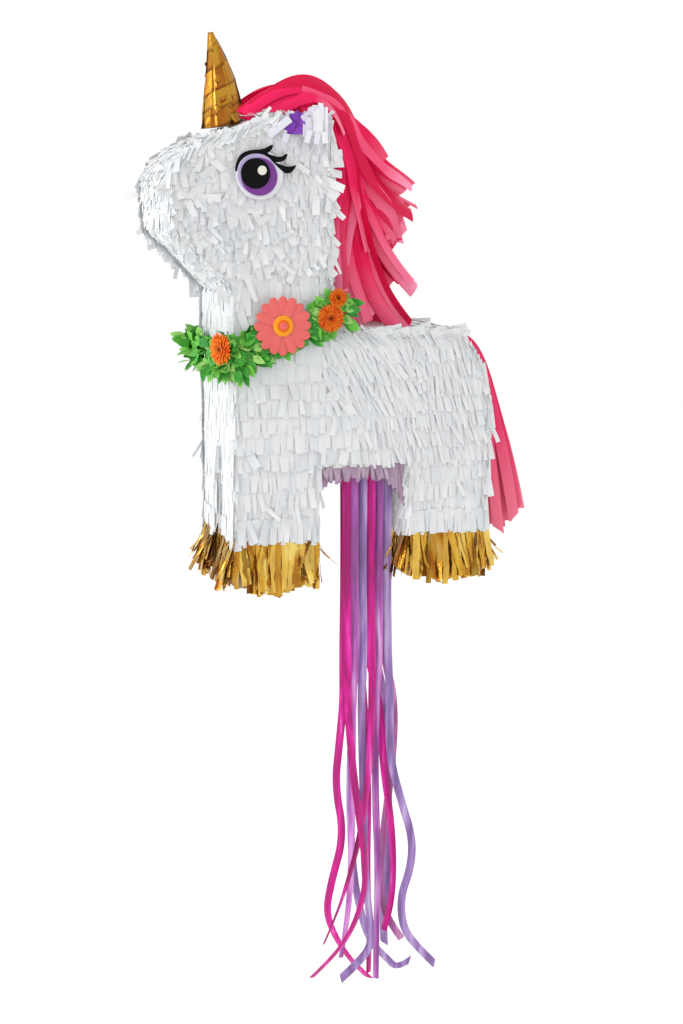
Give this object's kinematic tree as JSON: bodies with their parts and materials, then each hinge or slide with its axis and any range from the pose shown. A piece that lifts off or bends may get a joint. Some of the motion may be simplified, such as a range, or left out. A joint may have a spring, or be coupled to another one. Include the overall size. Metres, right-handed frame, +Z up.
{
  "type": "pinata",
  "caption": "Pull-string unicorn pinata: fringed hollow card body on a hanging eyelet, with a horn, mane, tail, flower garland, filling flap and a belly trap door opened by ribbons.",
  "frame": {"origin": "top rim of the hanging eyelet on the crown of the head, on the middle plane", "axes": "+Z up along the eyelet, towards the cord it hangs from; the nose points to -X and the tail to +X; -Y is the animal's left side"},
  "size_m": [0.38, 0.1624, 0.9514],
  "materials": {
    "card": "matt corrugated card",
    "board": "plain thin plywood",
    "eyelet_metal": "nickel-coloured pressed steel",
    "white_paper": "white tissue paper cut in fringe",
    "gold_foil": "metallised gold film, crinkled",
    "purple_paper": "purple tissue paper",
    "black_card": "matt black card",
    "white_card": "white card",
    "lilac_card": "lilac printed card",
    "purple_card": "purple printed card",
    "green_paper": "green paper leaves",
    "coral_card": "coral pink card petals",
    "orange_card": "orange card petals",
    "pink_crepe": "hot pink crepe paper strips",
    "tape": "clear adhesive tape over folded ribbon ends",
    "ribbon_magenta": "satin ribbon",
    "ribbon_orchid": "satin ribbon",
    "ribbon_lilac": "satin ribbon",
    "ribbon_purple": "satin ribbon"
  },
  "bodies": {
    "shell": {"left_side_panel": "card", "right_side_panel": "card", "head_strip": "card", "jaw_strip": "card", "chest_strip": "card", "nape_strip": "card", "back_strip": "card", "rump_strip": "card", "belly_strip": "card", "front_left_leg": "card", "front_right_leg": "card", "rear_left_leg": "card", "rear_right_leg": "card", "hanger_plate": "board", "hanger_eyelet": "eyelet_metal", "left_side_fringe": "white_paper", "right_side_fringe": "white_paper", "head_fringe": "white_paper", "chest_fringe": "white_paper", "rear_fringe": "white_paper", "belly_fringe": "white_paper", "leg_fringes": "white_paper", "front_left_hoof_foil": "gold_foil", "front_right_hoof_foil": "gold_foil", "rear_left_hoof_foil": "gold_foil", "rear_right_hoof_foil": "gold_foil", "horn": "gold_foil", "left_ear": "white_paper", "right_ear": "white_paper", "ear_linings": "purple_paper", "eye_lashes": "black_card", "eye_discs": "white_card", "eye_rings": "lilac_card", "eye_irises": "purple_card", "eye_pupils": "black_card", "eye_highlights": "white_card", "garland": "green_paper", "daisies": "coral_card", "gerberas": "orange_card", "flower_centres": "orange_card", "mane_crown": "pink_crepe", "mane_neck": "pink_crepe", "tail": "pink_crepe"},
    "fill_flap": {"fill_door": "card", "fill_door_fringe": "white_paper"},
    "trap_flap": {"trap_door": "card", "trap_door_fringe": "white_paper", "ribbon_tape": "tape"},
    "ribbons": {"ribbon_1": "ribbon_magenta", "ribbon_2": "ribbon_orchid", "ribbon_3": "ribbon_lilac", "ribbon_4": "ribbon_magenta", "ribbon_5": "ribbon_orchid", "ribbon_6": "ribbon_lilac", "ribbon_7": "ribbon_magenta", "ribbon_8": "ribbon_lilac", "ribbon_9": "ribbon_magenta", "ribbon_10": "ribbon_magenta", "ribbon_11": "ribbon_lilac", "ribbon_12": "ribbon_purple"}
  },
  "joints": [
    {"name": "fill_flap_fold", "type": "hinge", "parent": "shell", "child": "fill_flap", "pos_m": [0.11, 0.055, -0.225], "axis": [1, 0, 0], "range_deg": [0, 85]},
    {"name": "trap_door_fold", "type": "hinge", "parent": "shell", "child": "trap_flap", "pos_m": [0.072, 0.036, -0.326], "axis": [1, 0, 0], "range_deg": [0, 80]},
    {"name": "ribbon_swing", "type": "hinge", "parent": "trap_flap", "child": "ribbons", "pos_m": [0.075, -0.0395, -0.328], "axis": [1, 0, 0], "range_deg": [-80, 0]}
  ],
  "couplings": [
    {"joint": "ribbon_swing", "follows": "trap_door_fold", "ratio": -1}
  ]
}
